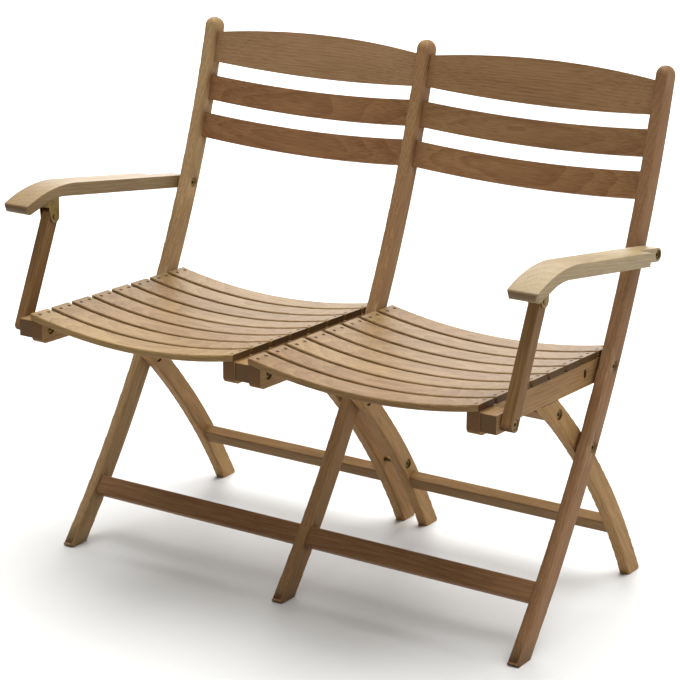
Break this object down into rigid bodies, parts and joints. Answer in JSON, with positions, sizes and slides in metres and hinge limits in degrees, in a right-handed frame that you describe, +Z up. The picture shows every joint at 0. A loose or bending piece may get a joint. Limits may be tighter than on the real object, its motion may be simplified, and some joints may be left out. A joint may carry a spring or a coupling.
{
  "type": "folding garden bench",
  "caption": "Folding two-seat garden bench in oiled teak: curved posts, dished slatted seats, bowed back slats, level arms on struts and crossing rear legs that fold flat.",
  "frame": {"origin": "centre of the bench's box, on the floor", "axes": "+X along the bench to the right as seen by someone facing the seat, +Y from the front of the seat to the back, +Z up"},
  "size_m": [1.058, 0.5916, 0.8815],
  "materials": {
    "teak": "oiled and weathered, satin",
    "brass": "dull, tarnished"
  },
  "bodies": {
    "frame": {"post_left": "teak", "post_middle": "teak", "post_right": "teak", "front_stretcher_left": "teak", "front_stretcher_right": "teak", "back_top_rail_left": "teak", "back_top_rail_right": "teak", "back_slat_upper_left": "teak", "back_slat_upper_right": "teak", "back_slat_lower_left": "teak", "back_slat_lower_right": "teak", "seat_pivot_bolts": "brass", "leg_pivot_bolts": "brass", "pivot_washers": "brass", "arm_bolts": "brass"},
    "seat": {"seat_rail_left_outer": "teak", "seat_rail_left_inner": "teak", "seat_rail_right_inner": "teak", "seat_rail_right_outer": "teak", "seat_slat_left_1": "teak", "seat_slat_left_2": "teak", "seat_slat_left_3": "teak", "seat_slat_left_4": "teak", "seat_slat_left_5": "teak", "seat_slat_left_6": "teak", "seat_slat_left_7": "teak", "seat_slat_left_8": "teak", "seat_slat_right_1": "teak", "seat_slat_right_2": "teak", "seat_slat_right_3": "teak", "seat_slat_right_4": "teak", "seat_slat_right_5": "teak", "seat_slat_right_6": "teak", "seat_slat_right_7": "teak", "seat_slat_right_8": "teak", "seat_block_left": "teak", "seat_block_middle": "teak", "seat_block_right": "teak", "block_bolts": "brass"},
    "legs": {"rear_leg_left_outer": "teak", "rear_leg_left_inner": "teak", "rear_leg_right_inner": "teak", "rear_leg_right_outer": "teak", "rear_stretcher_left": "teak", "rear_stretcher_right": "teak", "leg_top_bar_left": "teak", "leg_top_bar_right": "teak", "leg_top_bolts": "brass", "leg_tie_bolt": "brass"},
    "arm_left": {"arm_left": "teak", "arm_bracket_left": "brass", "bracket_pin_left": "brass"},
    "arm_right": {"arm_right": "teak", "arm_bracket_right": "brass", "bracket_pin_right": "brass"},
    "strut_left": {"arm_strut_left": "teak"},
    "strut_right": {"arm_strut_right": "teak"}
  },
  "joints": [
    {"name": "seat_fold", "type": "hinge", "parent": "frame", "child": "seat", "pos_m": [0, 0.09042, 0.416], "axis": [-1, 0, 0], "range_deg": [0, 98]},
    {"name": "legs_fold", "type": "hinge", "parent": "frame", "child": "legs", "pos_m": [0, 0.02142, 0.297], "axis": [-1, 0, 0], "range_deg": [0, 52]},
    {"name": "arm_left_fold", "type": "hinge", "parent": "frame", "child": "arm_left", "pos_m": [-0.491, 0.17442, 0.5895], "axis": [-1, 0, 0], "range_deg": [0, 98]},
    {"name": "strut_left_turn", "type": "hinge", "parent": "seat", "child": "strut_left", "pos_m": [-0.491, -0.26858, 0.432], "axis": [-1, 0, 0], "range_deg": [-98, 0]},
    {"name": "arm_right_fold", "type": "hinge", "parent": "frame", "child": "arm_right", "pos_m": [0.491, 0.17442, 0.5895], "axis": [-1, 0, 0], "range_deg": [0, 98]},
    {"name": "strut_right_turn", "type": "hinge", "parent": "seat", "child": "strut_right", "pos_m": [0.491, -0.26858, 0.432], "axis": [-1, 0, 0], "range_deg": [-98, 0]}
  ],
  "couplings": [
    {"joint": "legs_fold", "follows": "seat_fold", "ratio": 0.53},
    {"joint": "arm_left_fold", "follows": "seat_fold", "ratio": 1},
    {"joint": "strut_left_turn", "follows": "seat_fold", "ratio": -1},
    {"joint": "arm_right_fold", "follows": "seat_fold", "ratio": 1},
    {"joint": "strut_right_turn", "follows": "seat_fold", "ratio": -1}
  ]
}
